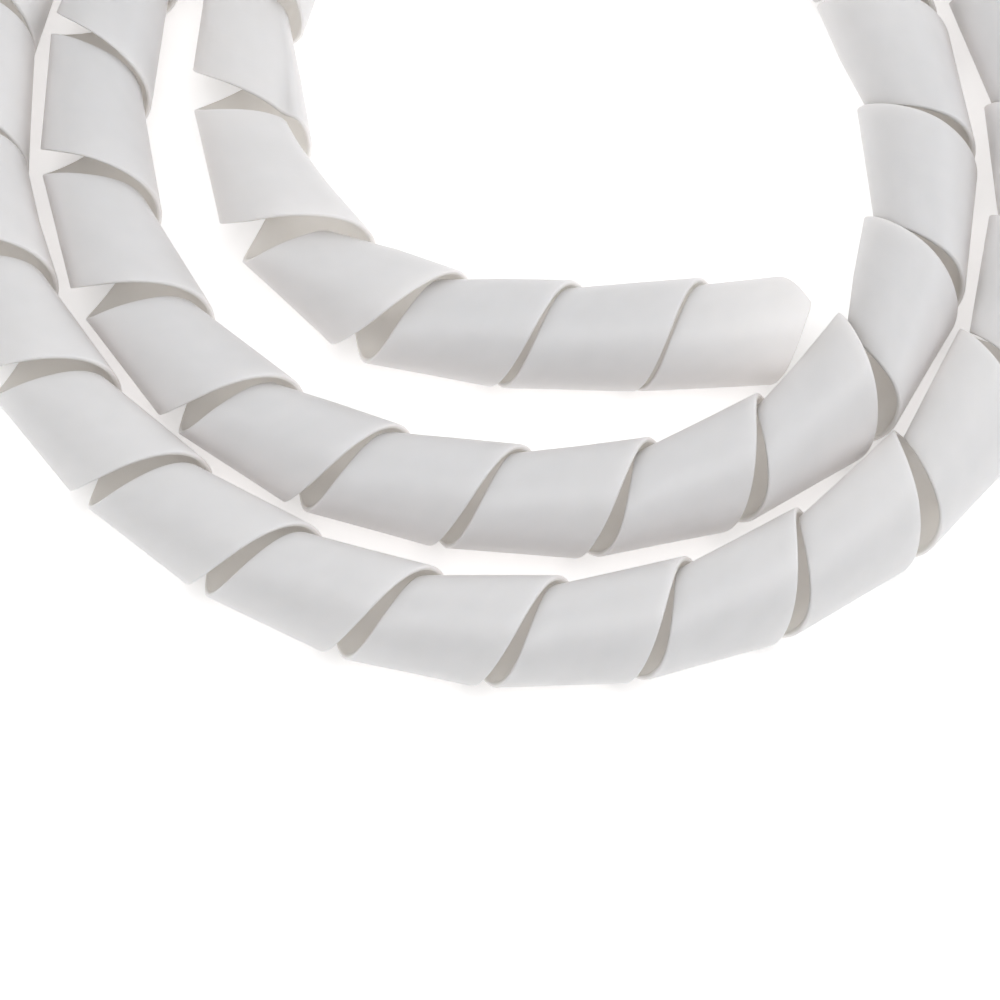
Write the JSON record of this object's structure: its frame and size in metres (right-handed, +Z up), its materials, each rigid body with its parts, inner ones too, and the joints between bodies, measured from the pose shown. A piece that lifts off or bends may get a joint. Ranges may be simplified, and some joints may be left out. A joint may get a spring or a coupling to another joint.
{
  "type": "spiral cable wrap",
  "caption": "Flexible white plastic strip wound as a helix tube that bundles and protects cables, lying as a loose flat coil.",
  "frame": {"origin": "on the floor, under the middle of the coil's bounding box", "axes": "+Z up; the coil lies flat in XY, its inner end is a straight stretch along X that ends towards +X; +Y is away from the picture's viewer"},
  "size_m": [0.2358, 0.2306, 0.0239],
  "materials": {
    "polyethylene": "natural white extruded polyethylene, satin, slightly translucent at the rims"
  },
  "bodies": {
    "root": {"spiral_wrap": "polyethylene"}
  },
  "joints": []
}
